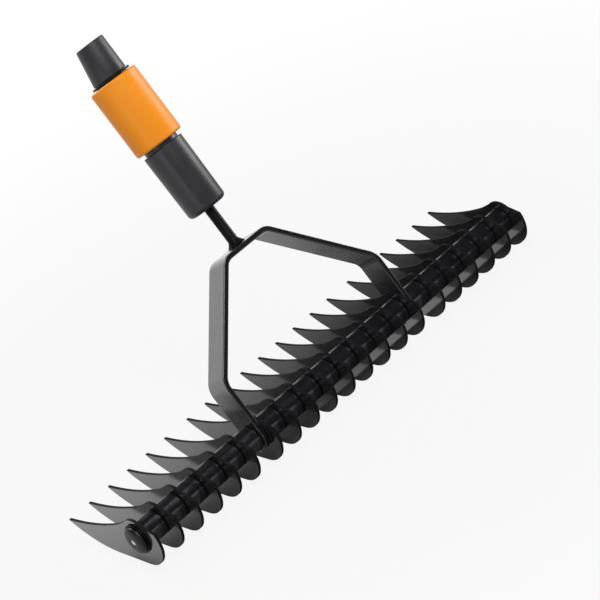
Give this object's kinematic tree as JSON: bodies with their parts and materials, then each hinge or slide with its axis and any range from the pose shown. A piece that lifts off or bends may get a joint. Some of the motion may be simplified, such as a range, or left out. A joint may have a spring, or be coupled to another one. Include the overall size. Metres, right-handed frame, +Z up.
{
  "type": "aerator rake head",
  "caption": "Head of an aerator rake: a swinging gang of claw blades on an axle, carried by a forked strip under a plug-in handle socket.",
  "frame": {"origin": "on the ground under the middle of the head's bounding box", "axes": "+X along the axle, +Y the way the claws point, +Z up; the blades stand on the straight stretch of their bellies"},
  "size_m": [0.3592, 0.1435, 0.2517],
  "materials": {
    "powder_coated_steel": "satin black powder coat on stamped steel",
    "black_lacquered_tube": "glossy black lacquer on cut tube",
    "black_lacquered_strip": "satin black lacquer on bent strip steel",
    "zinc_plated_steel": "zinc plated",
    "dark_grey_nylon": "fine-textured moulded nylon",
    "orange_nylon": "satin moulded nylon"
  },
  "bodies": {
    "gang": {"blade_01": "powder_coated_steel", "blade_02": "powder_coated_steel", "blade_03": "powder_coated_steel", "blade_04": "powder_coated_steel", "blade_05": "powder_coated_steel", "blade_06": "powder_coated_steel", "blade_07": "powder_coated_steel", "blade_08": "powder_coated_steel", "blade_09": "powder_coated_steel", "blade_10": "powder_coated_steel", "blade_11": "powder_coated_steel", "blade_12": "powder_coated_steel", "blade_13": "powder_coated_steel", "blade_14": "powder_coated_steel", "blade_15": "powder_coated_steel", "blade_16": "powder_coated_steel", "blade_17": "powder_coated_steel", "blade_18": "powder_coated_steel", "blade_19": "powder_coated_steel", "blade_20": "powder_coated_steel", "blade_21": "powder_coated_steel", "spacer_01": "black_lacquered_tube", "spacer_02": "black_lacquered_tube", "spacer_03": "black_lacquered_tube", "spacer_04": "black_lacquered_tube", "spacer_05": "black_lacquered_tube", "spacer_06": "black_lacquered_tube", "spacer_07": "black_lacquered_tube", "spacer_08": "black_lacquered_tube", "spacer_09": "black_lacquered_tube", "spacer_10": "black_lacquered_tube", "spacer_11": "black_lacquered_tube", "spacer_12": "black_lacquered_tube", "spacer_13": "black_lacquered_tube", "spacer_14": "black_lacquered_tube", "spacer_15": "black_lacquered_tube", "spacer_16": "black_lacquered_tube", "spacer_17": "black_lacquered_tube", "spacer_18": "black_lacquered_tube", "spacer_19": "black_lacquered_tube", "spacer_20": "black_lacquered_tube", "axle_rod": "zinc_plated_steel", "washer_left": "zinc_plated_steel", "washer_right": "zinc_plated_steel", "end_cap_left": "powder_coated_steel", "end_cap_right": "powder_coated_steel", "pivot_bush_left": "zinc_plated_steel", "pivot_bush_right": "zinc_plated_steel", "stop_pin_left": "zinc_plated_steel", "stop_pin_right": "zinc_plated_steel"},
    "handle": {"fork_strip": "black_lacquered_strip", "tang_rod": "black_lacquered_strip", "socket_body": "dark_grey_nylon", "spigot_core": "dark_grey_nylon", "retaining_ring": "zinc_plated_steel", "sleeve_spring": "zinc_plated_steel"},
    "sleeve": {"release_sleeve": "orange_nylon"},
    "pawl": {"lock_pawl": "zinc_plated_steel"}
  },
  "joints": [
    {"name": "head_swing", "type": "hinge", "parent": "gang", "child": "handle", "pos_m": [0, -0.05139, 0.0202], "axis": [1, 0, 0], "range_deg": [0, 45]},
    {"name": "sleeve_slide", "type": "slide", "parent": "handle", "child": "sleeve", "axis": [0, -0.454, -0.891], "range_m": [0, 0.0025], "stiffness_N_per_m": 800, "springref_m": -0.002, "deforming": ["sleeve_spring"]},
    {"name": "pawl_slide", "type": "slide", "parent": "handle", "child": "pawl", "axis": [0, -0.891, 0.454], "range_m": [0, 0.0014]}
  ],
  "couplings": [
    {"joint": "pawl_slide", "follows": "sleeve_slide", "ratio": 0.55}
  ]
}
